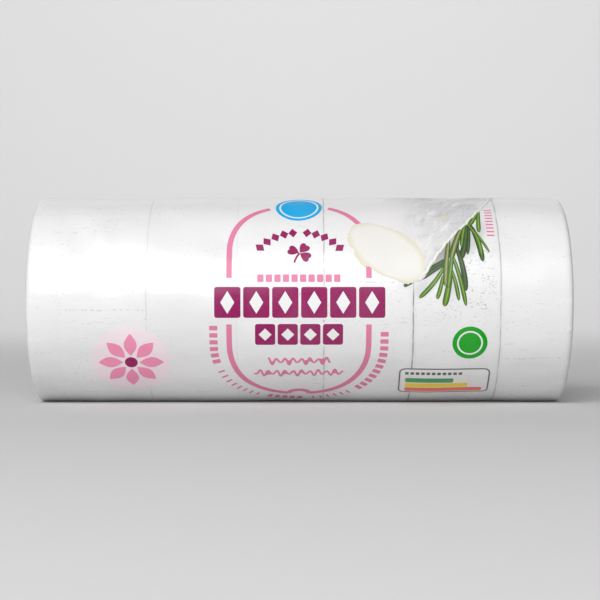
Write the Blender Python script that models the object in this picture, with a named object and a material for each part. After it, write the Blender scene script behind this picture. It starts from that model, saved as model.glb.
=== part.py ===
"""A soft goat cheese log, shut in its printed film and lying on its side.

The pack is one closed solid: a turned log whose film is rolled round it, lapped at the back,
and pleated flat over both ends. Metres, +Z up. The log's axis runs along X, the printed front
faces -Y, and the origin is on the surface under the middle of the log.
"""

import math
import random

import bmesh
import bpy

LENGTH = 0.114
DIAMETER = 0.045
RADIUS = DIAMETER / 2

# The film turns over the end of the log on this radius.
RIM_RADIUS = 0.0013
RIM_STEPS = 3

# The soft log settles onto a narrow strip, which is flat.
FLAT_WIDTH = 0.007
AXIS_HEIGHT = math.sqrt(RADIUS**2 - (FLAT_WIDTH / 2) ** 2)

# Columns of faces round the log, and rows of faces along its side.
COLUMNS = 120
SIDE_ROWS = 14

# The film is slightly uneven over the soft cheese. Each wave has its length along the log,
# the number of times it repeats round the girth, its phase in turns and its height.
WAVES = (
    (0.061, 1, 0.06, 0.00006),
    (0.037, -2, 0.33, 0.00005),
    (0.024, 3, 0.64, 0.00004),
)
# The waves die out towards the rims, where the film is pulled tight.
WAVE_FADE_POWER = 8

# The lap at the back: its free edge, measured from the front over the top, how far the upper
# layer reaches beyond that edge, and the step at the edge.
LAP_EDGE_ANGLE = math.radians(204)
LAP_WIDTH = 0.010
LAP_STEP = 0.00025

# The end folds. Widths are in columns, and the list fills the girth exactly.
PLEAT_WIDTHS = (5, 6, 7) * 6 + (6, 6)
PLEAT_DEPTH = 0.0007
PLEAT_TWIST = math.radians(26)
PLEAT_SEEDS = {-1: 11, 1: 23}
# A pleat deepens over the outer part of the radius, and is shallower in the middle, where
# the folds are pressed together. These are shares of the radius and of the depth.
PLEAT_DEEPENS_OVER = 0.16
PLEAT_SHALLOW_WITHIN = 0.3
PLEAT_MIDDLE_DEPTH = 0.35
DISH_DEPTH = 0.0005
GATHER_RADIUS = 0.0042
GATHER_DEPTH = 0.0011
# The rings of the end, as shares of the flat end's radius, from the rim to the middle.
END_RINGS = (1.0, 0.92, 0.82, 0.62, 0.40, 0.22, 0.11, 0.0)

# Points nearer than this are one point.
SAME_POINT = 1e-6

FILM_COLOUR = (0.90, 0.90, 0.90, 1.0)
FILM_ROUGHNESS = 0.38
SMOOTH_ANGLE = math.radians(30)


def clear_scene():
    """Removes every object that the file was opened with."""
    for obj in list(bpy.data.objects):
        bpy.data.objects.remove(obj)


def smooth_step(value):
    """0 below 0, 1 above 1, and a smooth rise between them."""
    value = min(1.0, max(0.0, value))
    return value * value * (3 - 2 * value)


def film_material():
    """White printed film with a satin finish."""
    material = bpy.data.materials.new("film")
    material.use_nodes = True
    shader = material.node_tree.nodes["Principled BSDF"]
    shader.inputs["Base Color"].default_value = FILM_COLOUR
    shader.inputs["Roughness"].default_value = FILM_ROUGHNESS
    shader.inputs["Metallic"].default_value = 0.0
    return material


def half_outline():
    """The (x, radius) points of the turned blank, from the middle of one end to the other."""
    flat_radius = RADIUS - RIM_RADIUS
    end = [(LENGTH / 2, share * flat_radius) for share in reversed(END_RINGS)]
    for step in range(1, RIM_STEPS + 1):
        turn = math.pi / 2 * step / RIM_STEPS
        x = LENGTH / 2 - RIM_RADIUS * (1 - math.cos(turn))
        end.append((x, flat_radius + RIM_RADIUS * math.sin(turn)))
    side_half = end[-1][0]
    side = [
        (side_half * (2 * row / SIDE_ROWS - 1), RADIUS) for row in range(1, SIDE_ROWS)
    ]
    return [(-x, radius) for x, radius in end] + side + end[::-1]


def turned_blank():
    """The outline spun round the X axis, with the two middles closed to one point each."""
    blank = bmesh.new()
    points = [blank.verts.new((x, -radius, 0)) for x, radius in half_outline()]
    edges = [blank.edges.new(pair) for pair in zip(points, points[1:])]
    bmesh.ops.spin(
        blank,
        geom=points + edges,
        axis=(1, 0, 0),
        cent=(0, 0, 0),
        angle=2 * math.pi,
        steps=COLUMNS,
        use_merge=True,
    )
    bmesh.ops.remove_doubles(blank, verts=blank.verts, dist=SAME_POINT)
    bmesh.ops.recalc_face_normals(blank, faces=blank.faces)
    return blank


def wave_height(x, angle):
    """How far the film stands out from the true cylinder because the cheese is uneven."""
    fade = 1 - abs(2 * x / LENGTH) ** WAVE_FADE_POWER
    return fade * sum(
        height * math.sin(2 * math.pi * (x / along + phase) + turns * angle)
        for along, turns, phase, height in WAVES
    )


def lap_height(angle):
    """The upper layer of film: a step at its free edge, and a slow fall to where it starts."""
    column = 2 * math.pi / COLUMNS
    before_edge = LAP_EDGE_ANGLE - angle
    rise = smooth_step(before_edge / column)
    fall = smooth_step(before_edge / (LAP_WIDTH / RADIUS))
    return LAP_STEP * (rise - fall)


def pleat_phases(end_sign):
    """For each column, its share of the way across its pleat, from the tuck to the free fold."""
    widths = list(PLEAT_WIDTHS)
    random.Random(PLEAT_SEEDS[end_sign]).shuffle(widths)
    return [step / width for width in widths for step in range(width)]


def end_point(end_sign, radius, angle, phases):
    """Where a point of the flat end goes when the film is pleated and gathered."""
    share = radius / (RADIUS - RIM_RADIUS)
    column = round(angle / (2 * math.pi) * COLUMNS) % COLUMNS
    near_rim = smooth_step((1 - share) / PLEAT_DEEPENS_OVER)
    outside_middle = smooth_step(share / PLEAT_SHALLOW_WITHIN)
    near_middle = PLEAT_MIDDLE_DEPTH + (1 - PLEAT_MIDDLE_DEPTH) * outside_middle
    fold = PLEAT_DEPTH * (1 - phases[column]) * near_rim * near_middle
    dish = DISH_DEPTH * (1 - share**2)
    gather = GATHER_DEPTH * smooth_step(1 - radius / GATHER_RADIUS)
    turned = angle + PLEAT_TWIST * (1 - share)
    x = end_sign * (LENGTH / 2 - fold - dish - gather)
    return x, radius, turned


def side_point(x, radius, angle):
    """Where a point of the side or the rim goes when the film is wavy and lapped."""
    return x, radius + (wave_height(x, angle) + lap_height(angle)) * radius / RADIUS, angle


def shape_film(blank):
    """Moves each point of the turned blank to its place on the film, and settles the log."""
    phases = {end_sign: pleat_phases(end_sign) for end_sign in (-1, 1)}
    flat_radius = RADIUS - RIM_RADIUS
    for vert in blank.verts:
        x, y, z = vert.co
        radius = math.hypot(y, z)
        angle = math.atan2(z, -y) % (2 * math.pi)
        if radius < flat_radius - SAME_POINT:
            end_sign = 1 if x > 0 else -1
            x, radius, angle = end_point(end_sign, radius, angle, phases[end_sign])
        elif radius > flat_radius + SAME_POINT:
            x, radius, angle = side_point(x, radius, angle)
        height = AXIS_HEIGHT + radius * math.sin(angle)
        vert.co = (x, -radius * math.cos(angle), max(0.0, height))


def wrapped_log():
    """The whole pack as one object."""
    blank = turned_blank()
    shape_film(blank)
    mesh = bpy.data.meshes.new("wrapped_log")
    blank.to_mesh(mesh)
    blank.free()
    mesh.shade_smooth()
    mesh.set_sharp_from_angle(angle=SMOOTH_ANGLE)
    mesh.materials.append(film_material())
    log = bpy.data.objects.new("wrapped_log", mesh)
    bpy.context.scene.collection.objects.link(log)
    return log


clear_scene()
wrapped_log()
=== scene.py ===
"""A soft goat cheese log, shut in its printed film and lying on its side.

Metres, +Z up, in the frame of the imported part: the log's axis runs along X, the printed front
faces -Y, and the origin is on the floor under the middle of the log.
"""

import math
import random

import bmesh
import bpy
import numpy as np
from mathutils import Matrix, Vector


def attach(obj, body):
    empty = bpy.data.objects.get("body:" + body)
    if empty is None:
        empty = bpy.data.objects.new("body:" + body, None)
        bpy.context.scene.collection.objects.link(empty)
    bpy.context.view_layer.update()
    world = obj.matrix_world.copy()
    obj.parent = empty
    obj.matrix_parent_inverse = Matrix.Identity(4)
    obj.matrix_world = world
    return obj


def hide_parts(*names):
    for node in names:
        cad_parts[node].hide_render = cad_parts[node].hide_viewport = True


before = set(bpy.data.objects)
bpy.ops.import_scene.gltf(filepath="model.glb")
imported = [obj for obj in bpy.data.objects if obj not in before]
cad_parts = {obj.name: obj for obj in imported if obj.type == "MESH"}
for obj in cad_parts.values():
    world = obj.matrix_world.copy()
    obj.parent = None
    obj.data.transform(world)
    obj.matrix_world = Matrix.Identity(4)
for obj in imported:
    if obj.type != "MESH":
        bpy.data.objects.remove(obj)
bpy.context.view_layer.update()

# The wrapped log
#
# One sheet of satin white plastic film, rolled once round a soft cheese log, lapped at the back
# and folded in pleats over both ends. The cheese under it is soft, so the film is a little wavy.

LENGTH = 0.114
RADIUS = 0.0225
# The film turns over the end of the log on this radius.
RIM_RADIUS = 0.0013
# The soft log settles onto a strip of this width.
FLAT_WIDTH = 0.007
AXIS_HEIGHT = math.sqrt(RADIUS**2 - (FLAT_WIDTH / 2) ** 2)
FLAT_RADIUS = RADIUS - RIM_RADIUS
# Points nearer than this are one point.
SAME_POINT = 1e-6

# Faces round the log, along its side, round a rim and from a rim to the middle of an end. The
# side is divided twice, because one division makes at most a hundred rows.
COLUMNS = 360
COLUMN_ANGLE = 2 * math.pi / COLUMNS
SIDE_ROW_STEPS = (50, 3)
RIM_SEGMENTS = 5
END_RINGS = 30
# A point further from the middle than this share of the length belongs to an end.
END_SHARE = 0.4999
# Edges sharper than this stay sharp.
SMOOTH_ANGLE = math.radians(38)

# Slow waves: length along the log, repeats round the girth, phase in turns, height.
WAVES = (
    (0.061, 1, 0.06, 0.00006),
    (0.037, -2, 0.33, 0.00005),
    (0.024, 3, 0.64, 0.00004),
)
# The waves and dents die out towards the rims, where the film is pulled tight.
WAVE_FADE_POWER = 8
# Short ripples of the film alone, in the same terms.
RIPPLES = (
    (0.0151, 5, 0.21, 0.000020),
    (0.0113, -7, 0.57, 0.000014),
    (0.0087, 9, 0.83, 0.000008),
)
# Soft dents from handling: place along the log, place round it from the front line over the
# top, half length, half width, depth.
DENTS = (
    (-0.0515, 0.0012, 0.0045, 0.0042, -0.00034),
    (-0.0515, 0.0140, 0.0030, 0.0042, -0.00020),
    (-0.0462, 0.0137, 0.0027, 0.0042, 0.00052),
    (-0.0416, 0.0137, 0.0024, 0.0040, -0.00055),
    (-0.0390, 0.0035, 0.0036, 0.0030, 0.00020),
    (-0.0340, 0.0140, 0.0052, 0.0042, -0.00030),
    (-0.0270, 0.0010, 0.0062, 0.0044, -0.00038),
    (-0.0250, 0.0150, 0.0036, 0.0046, 0.00018),
    (-0.0175, 0.0140, 0.0050, 0.0044, 0.00040),
    (-0.0175, -0.0010, 0.0050, 0.0046, -0.00040),
    (-0.0440, -0.0130, 0.0080, 0.0036, 0.00026),
    (-0.0215, -0.0140, 0.0080, 0.0050, 0.00034),
    (0.0170, -0.0180, 0.0085, 0.0055, 0.00032),
    (0.0310, -0.0150, 0.0090, 0.0060, -0.00022),
    (0.0490, -0.0110, 0.0070, 0.0036, -0.00034),
    (0.0480, 0.0140, 0.0050, 0.0044, 0.00034),
    (0.0505, 0.0030, 0.0040, 0.0040, -0.00030),
    (-0.0480, 0.0330, 0.0080, 0.0070, 0.00024),
    (-0.0120, 0.0380, 0.0100, 0.0070, -0.00018),
    (0.0050, 0.0440, 0.0120, 0.0080, 0.00024),
    (-0.0300, 0.0560, 0.0110, 0.0070, 0.00028),
    (0.0270, 0.0600, 0.0090, 0.0080, -0.00024),
    (0.0460, 0.0520, 0.0070, 0.0090, 0.00026),
    (-0.0050, 0.0640, 0.0120, 0.0060, 0.00024),
)

# The lap at the back: where the upper layer ends, how far it reaches back, and its step.
LAP_EDGE_ANGLE = math.radians(204)
LAP_WIDTH = 0.010
LAP_STEP = 0.00025
# The last column of the upper layer is moved this close to its free edge.
LAP_EDGE_SHARPNESS = math.radians(0.12)

# The pleats of the ends, in columns of three degrees.
PLEAT_COLUMNS = 120
PLEAT_WIDTHS = (5, 6, 7) * 6 + (6, 6)
PLEAT_DEPTH = 0.0007
PLEAT_TWIST = math.radians(26)
PLEAT_SEEDS = {-1: 11, 1: 23}
# As shares of the end's radius: the pleats deepen over the first, from the rim inwards. Within
# the second they grow shallow again, down to the third as a share of their depth.
PLEAT_DEEPENS_OVER = 0.16
PLEAT_SHALLOW_WITHIN = 0.3
PLEAT_MIDDLE_DEPTH = 0.35
# A pleat's free fold drops to the next tuck within this share of the pleat, and laps over that
# tuck by this angle.
PLEAT_FOLD_SHARE = 0.048
PLEAT_OVERLAP = math.radians(1.7)
# The points that lap over the tuck are this far across their pleat.
FREE_FOLD = (0.92, 0.99)
# The unevenness of the side fades out over the end, inside the rim, down to this share of it.
RISE_ENDS_AT = 0.8
DISH_DEPTH = 0.0005
GATHER_RADIUS = 0.0042
GATHER_DEPTH = 0.0011
# Each pleat puckers the rim a little, over this length of the side.
PUCKER_HEIGHT = 0.00007
PUCKER_LENGTH = 0.0045


def smooth_step(value):
    """0 below 0, 1 above 1, and a smooth rise between them."""
    value = np.clip(value, 0.0, 1.0)
    return value * value * (3 - 2 * value)


def pleat_edges(end_sign):
    """The angles at which the pleats of one end begin and end."""
    widths = list(PLEAT_WIDTHS)
    random.Random(PLEAT_SEEDS[end_sign]).shuffle(widths)
    return np.concatenate([[0], np.cumsum(widths)]) * 2 * math.pi / PLEAT_COLUMNS


def pleat_shares(end_sign, angle):
    """How far across its pleat each angle is, from the tuck to the free fold."""
    edges = pleat_edges(end_sign)
    turned = np.mod(angle, 2 * math.pi)
    pleat = np.clip(np.searchsorted(edges, turned, side="right") - 1, 0, len(edges) - 2)
    return (turned - edges[pleat]) / (edges[pleat + 1] - edges[pleat])


def pleat_height(end_sign, angle):
    """0 in a pleat's tuck, 1 on its free fold, which drops steeply to the next tuck."""
    share = pleat_shares(end_sign, angle)
    return np.minimum(share / (1 - PLEAT_FOLD_SHARE), (1 - share) / PLEAT_FOLD_SHARE)


def film_rise(x, angle):
    """How far the film stands out from a true cylinder, at a place on the side."""
    fade = 1 - np.abs(2 * x / LENGTH) ** WAVE_FADE_POWER
    rise = sum(
        height * np.sin(2 * math.pi * (x / along + phase) + turns * angle)
        for along, turns, phase, height in WAVES + RIPPLES
    )
    for dent_x, dent_arc, half_length, half_width, depth in DENTS:
        around = np.mod(angle - dent_arc / RADIUS + math.pi, 2 * math.pi) - math.pi
        far = ((x - dent_x) / half_length) ** 2 + (around * RADIUS / half_width) ** 2
        rise = rise - depth * np.exp(-far)
    before_edge = LAP_EDGE_ANGLE - np.mod(angle, 2 * math.pi)
    lap = smooth_step(before_edge / LAP_EDGE_SHARPNESS)
    lap = lap - smooth_step(before_edge / (LAP_WIDTH / RADIUS))
    pucker = 0
    for end_sign in (-1, 1):
        near_rim = smooth_step(1 - (LENGTH / 2 - end_sign * x) / PUCKER_LENGTH)
        pucker = pucker + near_rim * (pleat_height(end_sign, angle) - 0.5)
    return fade * rise + LAP_STEP * lap + PUCKER_HEIGHT * pucker


def round_the_log(x, radius, angle):
    """World places for places given along the log, from its axis and round it."""
    height = AXIS_HEIGHT + radius * np.sin(angle)
    return np.stack([x, -radius * np.cos(angle), np.maximum(0.0, height)], axis=-1)


def deselect_all():
    """Leaves no object selected, because an operator acts on all that is selected."""
    bpy.ops.object.select_all(action="DESELECT")


def select_only(piece):
    """Makes one piece the only one that an operator acts on."""
    deselect_all()
    piece.select_set(True)
    bpy.context.view_layer.objects.active = piece


def pick(kind, test):
    """In edit mode, selects just the edges or faces whose corners pass the test."""
    bpy.ops.mesh.select_mode(type=kind)
    bpy.ops.mesh.select_all(action="DESELECT")
    mesh = bmesh.from_edit_mesh(bpy.context.edit_object.data)
    for element in mesh.edges if kind == "EDGE" else mesh.faces:
        corners = np.array([corner.co for corner in element.verts])
        if test(corners):
            element.select_set(True)
    bmesh.update_edit_mesh(bpy.context.edit_object.data)


def film_blank():
    """A plain log with rounded rims, with enough faces to take the film's shape."""
    deselect_all()
    bpy.ops.mesh.primitive_cylinder_add(
        vertices=COLUMNS, radius=RADIUS, depth=LENGTH, end_fill_type="NGON",
        rotation=(0, math.pi / 2, 0),
    )
    log = bpy.context.object
    bpy.ops.object.transform_apply()
    bpy.ops.object.mode_set(mode="EDIT")
    pick("EDGE", lambda corners: abs(corners[:, 0].mean()) > END_SHARE * LENGTH)
    bpy.ops.mesh.bevel(offset=RIM_RADIUS, segments=RIM_SEGMENTS, affect="EDGES")
    for end_sign in (-1, 1):
        pick("FACE", lambda corners: np.all(end_sign * corners[:, 0] > END_SHARE * LENGTH))
        for _ in range(END_RINGS - 1):
            bpy.ops.mesh.inset(thickness=FLAT_RADIUS / END_RINGS)
        bpy.ops.mesh.poke()
    row_length = LENGTH
    for rows in SIDE_ROW_STEPS:
        pick("EDGE", lambda corners: np.ptp(corners[:, 0]) > row_length / 2)
        bpy.ops.mesh.subdivide(number_cuts=rows - 1)
        row_length /= rows
    bpy.ops.object.mode_set(mode="OBJECT")
    return log


def read_places(piece):
    """The places of a piece's points, one row each."""
    places = np.empty(len(piece.data.vertices) * 3, np.float32)
    piece.data.vertices.foreach_get("co", places)
    return places.reshape(-1, 3).astype(float)


def write_places(piece, places):
    """Moves a piece's points to new places."""
    piece.data.vertices.foreach_set("co", places.astype(np.float32).ravel())
    piece.data.update()


def end_sink(end_sign, radius, angle):
    """How far the film of an end lies inside the rim: its folds, its dish and its middle."""
    share = radius / FLAT_RADIUS
    near_rim = smooth_step((1 - share) / PLEAT_DEEPENS_OVER)
    outside_middle = smooth_step(share / PLEAT_SHALLOW_WITHIN)
    near_middle = PLEAT_MIDDLE_DEPTH + (1 - PLEAT_MIDDLE_DEPTH) * outside_middle
    fold = PLEAT_DEPTH * (1 - pleat_height(end_sign, angle)) * near_rim * near_middle
    dish = DISH_DEPTH * (1 - share**2)
    gather = GATHER_DEPTH * smooth_step(1 - radius / GATHER_RADIUS)
    return np.where(share < 1, fold + dish + gather, 0)


def shape_film(log):
    """Gives the blank its waves, lap and pleats. Returns each point's place on the flat sheet."""
    x, y, z = read_places(log).T
    radius = np.hypot(y, z)
    angle = np.mod(np.arctan2(z, -y), 2 * math.pi)
    on_sheet = np.sign(x) * (np.abs(x) + np.maximum(0, FLAT_RADIUS - radius)), angle.copy()
    lap_column = np.abs(angle - LAP_EDGE_ANGLE + COLUMN_ANGLE) < COLUMN_ANGLE / 10
    angle = np.where(lap_column, LAP_EDGE_ANGLE - LAP_EDGE_SHARPNESS, angle)
    share = radius / FLAT_RADIUS
    rise = film_rise(x, angle) * smooth_step((share - RISE_ENDS_AT) / (1 - RISE_ENDS_AT))
    new_x = x.copy()
    new_angle = angle.copy()
    for end_sign in (-1, 1):
        at_end = end_sign * x > LENGTH / 2 - PUCKER_LENGTH
        across = pleat_shares(end_sign, angle)
        free_fold = (across > FREE_FOLD[0]) & (across < FREE_FOLD[1])
        near_end = smooth_step(1 - (LENGTH / 2 - end_sign * x) / RIM_RADIUS)
        overlap = PLEAT_OVERLAP * free_fold * near_end
        new_angle += np.where(at_end, overlap + PLEAT_TWIST * np.maximum(0, 1 - share), 0)
        new_x -= np.where(at_end, end_sign * end_sink(end_sign, radius, angle), 0)
    write_places(log, round_the_log(new_x, radius + rise, new_angle))
    return on_sheet


def read_numbers(elements, name):
    """One whole number from each corner or face of a mesh."""
    numbers = np.empty(len(elements), np.int32)
    elements.foreach_get(name, numbers)
    return numbers


def write_sheet_map(mesh, places):
    """Stores where each corner of a mesh lies on the flat printed sheet, in metres."""
    layer = mesh.uv_layers.new(name="film_sheet")
    layer.data.foreach_set("uv", places.astype(np.float32).ravel())


def add_sheet_map(log, on_sheet):
    """Gives the film its place on the flat printed sheet, cut where the sheet ends."""
    along, angle = on_sheet
    mesh = log.data
    corner_points = read_numbers(mesh.loops, "vertex_index")
    first_corners = read_numbers(mesh.polygons, "loop_start")
    corner_counts = read_numbers(mesh.polygons, "loop_total")
    face_of_corner = np.repeat(np.arange(len(first_corners)), corner_counts)
    turn = 2 * math.pi
    start = LAP_EDGE_ANGLE - turn
    turned = np.mod(angle[corner_points] - start, turn) + start
    corner = np.arange(len(corner_points))
    first = first_corners[face_of_corner]
    next_corner = first + (corner - first + 1) % corner_counts[face_of_corner]
    in_middle = np.abs(along[corner_points]) > LENGTH / 2 + FLAT_RADIUS - SAME_POINT
    turned = np.where(in_middle, turned[next_corner], turned)
    least = np.minimum.reduceat(turned, first_corners)[face_of_corner]
    most = np.maximum.reduceat(turned, first_corners)[face_of_corner]
    torn = (most - least > turn / 2) & (turned < start + turn / 2)
    turned = np.where(torn, turned + turn, turned)
    write_sheet_map(mesh, np.stack([along[corner_points], turned * RADIUS], axis=-1))


film = film_blank()
film.name = "film"
add_sheet_map(film, shape_film(film))

FILM_WHITE = (0.80, 0.80, 0.80, 1)
FILM_SHADE = (0.765, 0.765, 0.77, 1)
GRAIN_GREY = (0.22, 0.22, 0.23, 1)
FILM_GLOSS = {
    "Roughness": 0.35, "Specular IOR Level": 0.4, "Coat Weight": 0.40, "Coat IOR": 1.5,
    "Coat Roughness": 0.22,
}
# How dark the cracks, the scattered specks and the painted shade line along the lap's free edge are,
# as shares of the grey.
CRACK_STRENGTH = 0.20
SPECK_STRENGTH = 0.30
LAP_SHADE_STRENGTH = 0.35
# Soft patches on the flat sheet: the middle, a turn in degrees, the half sizes and a strength.
# Some are shadows, printed under the picture of the cheese and the herb.
SHADOWS = (
    (0.0295, 0.0095, 53, 0.0088, 0.0036, 0.80),
    (0.0268, 0.0038, 40, 0.0060, 0.0028, 0.34),
    (0.0318, 0.0052, 75, 0.0068, 0.0034, 0.36),
    (0.0362, 0.0135, 60, 0.0084, 0.0028, 0.34),
    (0.0235, 0.0030, 0, 0.0040, 0.0012, 0.20),
)
# In others, fine specks lie thick in the printed wood.
SPECK_FIELDS = (
    (0.0374, 0.0045, 0, 0.0058, 0.0125, 0.62),
    (0.0300, -0.0020, 0, 0.0060, 0.0050, 0.30),
)
# The sheet's free edge at the lap, and where its print stops short of it.
SHEET_END = LAP_EDGE_ANGLE * RADIUS
PRINT_END = SHEET_END - 0.0026
# The print stops over this length. Between these distances from the free edge the film is darkened:
# painted shade, standing for the thin shadow under the lap's step.
PRINT_FADE = 0.0002
LAP_SHADE_BAND = (0.00025, 0.0001)
# The printed planks: where the first begins, and their width.
PLANK_START = -0.0502
PLANK_WIDTH = 0.0184
# The joints between the printed planks: place along the log, and strength.
PLANK_JOINTS = (
    (-0.0502, 0.04),
    (-0.0318, 0.24),
    (-0.0131, 0.11),
    (0.0051, 0.60),
    (0.0236, 0.95),
    (0.0418, 0.60),
)
# Long cracks in the printed planks: place round the log, left end, right end, strength.
LONG_CRACKS = (
    (-0.0021, -0.0500, -0.0320, 0.34),
    (0.0061, -0.0432, -0.0326, 0.18),
    (0.0031, -0.0476, -0.0344, 0.13),
    (0.0213, -0.0560, -0.0360, 0.16),
    (0.0255, -0.0430, -0.0328, 0.20),
    (-0.0116, -0.0566, -0.0508, 0.22),
    (-0.0014, -0.0563, -0.0537, 0.20),
    (0.0038, 0.0096, 0.0200, 0.30),
    (-0.0129, 0.0422, 0.0557, 0.30),
    (-0.0214, 0.0424, 0.0560, 0.24),
    (-0.0111, 0.0296, 0.0336, 0.20),
    (-0.0081, 0.0250, 0.0286, 0.18),
    (-0.0008, 0.0490, 0.0528, 0.16),
    (-0.0239, 0.0456, 0.0512, 0.16),
)


def add_node(tree, kind, inputs=None, **settings):
    """A node of a kind. An input's value is either a constant or the socket that feeds it."""
    made = tree.nodes.new("ShaderNode" + kind)
    for name, value in settings.items():
        setattr(made, name, value)
    for socket, value in (inputs or {}).items():
        if isinstance(value, bpy.types.NodeSocket):
            tree.links.new(value, made.inputs[socket])
        else:
            made.inputs[socket].default_value = value
    return made


def maths(tree, operation, *values):
    """The result of one sum on numbers or sockets."""
    inputs = dict(enumerate(values))
    return add_node(tree, "Math", inputs, operation=operation).outputs[0]


def times(tree, first, *others):
    """Several numbers or sockets multiplied together."""
    for other in others:
        first = maths(tree, "MULTIPLY", first, other)
    return first


def off_from(tree, value, middle):
    """How far a value is from a middle, on either side."""
    return maths(tree, "ABSOLUTE", maths(tree, "SUBTRACT", value, middle))


def vector_maths(tree, operation, *values, output=0):
    """The result of one sum on places."""
    inputs = dict(enumerate(values))
    return add_node(tree, "VectorMath", inputs, operation=operation).outputs[output]


def turn_place(tree, place, angle):
    """A place on the sheet turned about the sheet's own middle."""
    inputs = {"Vector": place, "Angle": angle}
    return add_node(tree, "VectorRotate", inputs, rotation_type="Z_AXIS").outputs[0]


def out_from(tree, place, middle, angle, sizes):
    """How far out a place is in a turned ellipse: 0 at its middle and 1 on its outline."""
    moved = vector_maths(tree, "SUBTRACT", place, middle)
    sized = vector_maths(tree, "DIVIDE", turn_place(tree, moved, angle), sizes)
    return vector_maths(tree, "LENGTH", sized, output="Value")


def parts_of(tree, place):
    """The X, Y and Z of a place."""
    return add_node(tree, "SeparateXYZ", {0: place}).outputs


def ramp(tree, value, low, high, from_value=0.0, to_value=1.0):
    """A smooth change from one value to another as a socket's value goes from low to high.

    On soft noise, which lies around 0.5, low and high set how much of the sheet a mark covers.
    """
    inputs = {
        "Value": value, "From Min": low, "From Max": high, "To Min": from_value, "To Max": to_value,
    }
    return add_node(tree, "MapRange", inputs, interpolation_type="SMOOTHSTEP").outputs[0]


def noise(tree, place, scale, stretch=(1, 1, 1), detail=2.0, roughness=0.5):
    """Soft noise at a scale of so many features a metre, with each axis stretched."""
    scaled = vector_maths(tree, "MULTIPLY", place, stretch)
    inputs = {"Vector": scaled, "Scale": scale, "Detail": detail, "Roughness": roughness}
    return add_node(tree, "TexNoise", inputs, noise_dimensions="3D").outputs["Fac"]


def mix_colours(tree, share, first, second):
    """One colour at share 0 and another at share 1."""
    # The node's sockets for colours have these numbers.
    inputs = {0: share, 6: first, 7: second}
    return add_node(tree, "Mix", inputs, data_type="RGBA").outputs[2]


def effect(name, inputs, outputs):
    """A new group of shader nodes with named inputs and outputs, and its two end nodes."""
    tree = bpy.data.node_groups.new(name, "ShaderNodeTree")
    for socket, kind in inputs.items():
        tree.interface.new_socket(name=socket, in_out="INPUT", socket_type="NodeSocket" + kind)
    for socket, kind in outputs.items():
        tree.interface.new_socket(name=socket, in_out="OUTPUT", socket_type="NodeSocket" + kind)
    return tree, tree.nodes.new("NodeGroupInput").outputs, tree.nodes.new("NodeGroupOutput").inputs


def place_effect(tree, group, **values):
    """An effect placed in a material, with its own values or sockets. Returns its outputs."""
    return add_node(tree, "Group", values, node_tree=group).outputs


# The crinkle's height comes from broad noise, with this share of fine noise. On the ends, past
# these distances along the sheet, it has creases so many times as strong.
FINE_CRINKLE = 0.06
END_STARTS = (0.0566, 0.0580)
END_CREASES = 2.6


def crinkle_effect():
    """The faint crinkle of thin film over a soft filling, with sharper creases on the ends."""
    tree, given, made = effect("film_crinkle", {"Sheet": "Vector"}, {"Normal": "Vector"})
    sheet = given["Sheet"]
    broad = noise(tree, sheet, 140, stretch=(1, 1.5, 1), detail=1.0)
    fine = noise(tree, sheet, 900)
    along = parts_of(tree, sheet)["X"]
    on_end = ramp(tree, maths(tree, "ABSOLUTE", along), *END_STARTS)
    ridge = off_from(tree, noise(tree, sheet, 330, stretch=(0.6, 1, 1), detail=3.0), 0.5)
    height = maths(tree, "ADD", broad, times(tree, fine, FINE_CRINKLE))
    height = maths(tree, "SUBTRACT", height, times(tree, ridge, on_end, END_CREASES))
    bump = add_node(tree, "Bump", {"Strength": 0.8, "Distance": 0.0002, "Height": height})
    tree.links.new(bump.outputs["Normal"], made["Normal"])
    return tree


def stray(tree, value, wobble, reach):
    """A value moved to and fro by soft noise, as a line that isn't quite straight."""
    return maths(tree, "ADD", value, times(tree, maths(tree, "SUBTRACT", wobble, 0.5), reach))


def joint_effect():
    """One printed joint between planks: a thin broken line across the log."""
    inputs = {"Sheet": "Vector", "Place": "Float", "Strength": "Float"}
    tree, given, made = effect("plank_joint", inputs, {"Ink": "Float"})
    wobble = noise(tree, given["Sheet"], 160, stretch=(0.2, 1, 1), detail=3.0)
    strayed = stray(tree, parts_of(tree, given["Sheet"])["X"], wobble, 0.0005)
    off_line = off_from(tree, strayed, given["Place"])
    line = ramp(tree, off_line, 0.00005, 0.00021, 1.0, 0.0)
    worn = noise(tree, given["Sheet"], 260, stretch=(0.3, 1, 1), detail=3.0)
    kept = ramp(tree, worn, 0.36, 0.55, 0.45, 1.0)
    shaded_side = ramp(tree, off_line, 0.0, 0.0011, 0.10, 0.0)
    line = maths(tree, "MAXIMUM", times(tree, line, kept), shaded_side)
    tree.links.new(times(tree, line, given["Strength"]), made["Ink"])
    return tree


def crack_effect():
    """One long crack in a printed plank: a thin line of specks along the log."""
    inputs = {
        "Sheet": "Vector", "Place": "Float", "Left": "Float", "Right": "Float", "Strength": "Float"
    }
    tree, given, made = effect("long_crack", inputs, {"Ink": "Float"})
    parts = parts_of(tree, given["Sheet"])
    wobble = noise(tree, given["Sheet"], 90, stretch=(1, 0.2, 1), detail=3.0)
    off_line = off_from(tree, stray(tree, parts["Y"], wobble, 0.0016), given["Place"])
    line = ramp(tree, off_line, 0.00006, 0.00022, 1.0, 0.0)
    specks = ramp(tree, noise(tree, given["Sheet"], 1500), 0.46, 0.60)
    after = maths(tree, "GREATER_THAN", parts["X"], given["Left"])
    before = maths(tree, "LESS_THAN", parts["X"], given["Right"])
    tree.links.new(times(tree, line, specks, given["Strength"], after, before), made["Ink"])
    return tree


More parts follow.
